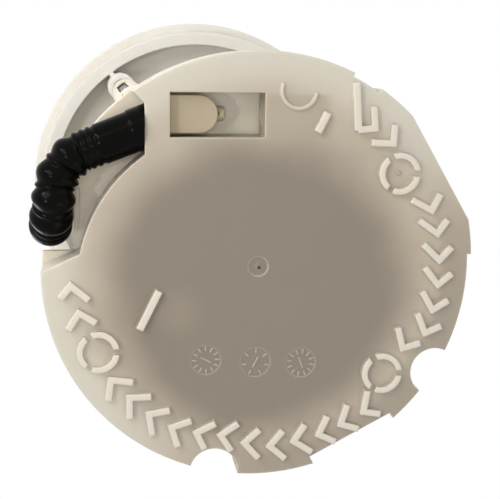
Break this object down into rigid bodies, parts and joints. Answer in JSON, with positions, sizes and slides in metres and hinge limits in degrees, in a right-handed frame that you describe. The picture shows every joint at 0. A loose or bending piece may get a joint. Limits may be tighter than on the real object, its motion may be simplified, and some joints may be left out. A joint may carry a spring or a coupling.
{
  "type": "in-tank fuel pump module",
  "caption": "Round tank flange over a sprung plastic reservoir that holds an electric turbine pump, a jet pump on a corrugated return hose, and a float level sender.",
  "frame": {"origin": "centre of the reservoir base, level with the tips of the ribs that it stands on", "axes": "+Z along the module's axis up to the tank flange; +X and +Y to the right and down in a view from below with the hose channel at the left"},
  "size_m": [0.132, 0.132, 0.206],
  "materials": {
    "ivory_acetal": "natural acetal, satin moulded",
    "ivory_flange": "natural acetal, satin moulded",
    "white_acetal": "natural acetal",
    "black_hose": "glossy black polyamide",
    "black_plastic": "moulded polyamide",
    "bright_steel": "ground bar",
    "spring_steel": "drawn wire",
    "zinc_shell": "zinc plated drawn shell",
    "core_steel": "stacked sheets",
    "cast_alloy": "die cast",
    "copper": "bare copper",
    "tinned_brass": "tinned",
    "bronze": "sintered bronze",
    "ferrite": "sintered ferrite",
    "carbon": "pressed carbon",
    "black_rubber": "moulded nitrile",
    "orange_rubber": "moulded fluoro rubber",
    "nylon_mesh": "woven filter mesh",
    "sender_ceramic": "printed resistor card",
    "float_foam": "closed cell nitrile foam"
  },
  "bodies": {
    "flange": {"tank_flange": "ivory_flange", "terminal_pins": "tinned_brass", "guide_rod_1": "bright_steel", "guide_rod_2": "bright_steel", "guide_rod_3": "bright_steel"},
    "armature": {"motor_shaft": "bright_steel", "armature_core": "core_steel", "armature_windings": "copper", "commutator": "copper", "impeller": "black_plastic"},
    "check_valve": {"valve_poppet": "orange_rubber"},
    "sender_arm": {"arm_hub": "white_acetal", "float_arm": "bright_steel", "sender_float": "float_foam", "wiper_contact": "tinned_brass"},
    "reservoir": {"reservoir_base": "ivory_acetal", "reservoir_cup": "ivory_acetal", "reservoir_lid": "white_acetal", "sleeve_cap_1": "black_plastic", "sleeve_cap_2": "black_plastic", "sleeve_cap_3": "black_plastic", "rod_spring_1": "spring_steel", "rod_spring_2": "spring_steel", "rod_spring_3": "spring_steel", "return_hose": "black_hose", "jet_nozzle": "white_acetal", "mixing_tube": "white_acetal", "foot_valve": "orange_rubber", "pump_shell": "zinc_shell", "pump_inlet_cover": "cast_alloy", "pump_stage_plate": "cast_alloy", "pump_end_cap": "black_plastic", "field_magnets": "ferrite", "carbon_brushes": "carbon", "brush_springs": "spring_steel", "pump_terminals": "tinned_brass", "lower_bearing": "bronze", "upper_bearing": "bronze", "valve_spring": "spring_steel", "valve_retainer": "tinned_brass", "lower_isolator": "black_rubber", "upper_isolator": "black_rubber", "inlet_strainer": "nylon_mesh", "strainer_collar": "white_acetal", "sender_housing": "black_plastic", "sender_card": "sender_ceramic"}
  },
  "joints": [
    {"name": "reservoir_slide", "type": "slide", "parent": "flange", "child": "reservoir", "axis": [0, 0, 1], "range_m": [0, 0.04], "stiffness_N_per_m": 600, "springref_m": -0.03, "deforming": ["rod_spring_1", "rod_spring_2", "rod_spring_3", "return_hose"]},
    {"name": "armature_spin", "type": "hinge", "parent": "reservoir", "child": "armature", "pos_m": [0, 0, 0.0665], "axis": [0, 0, 1], "continuous": true},
    {"name": "check_valve_lift", "type": "slide", "parent": "reservoir", "child": "check_valve", "axis": [0, 0, 1], "range_m": [0, 0.002], "stiffness_N_per_m": 120, "springref_m": -0.003, "deforming": ["valve_spring"]},
    {"name": "float_arm_swing", "type": "hinge", "parent": "reservoir", "child": "sender_arm", "pos_m": [0.02647, 0.0502, 0.06], "axis": [0.4664, 0.8846, 0], "range_deg": [0, 100]}
  ]
}
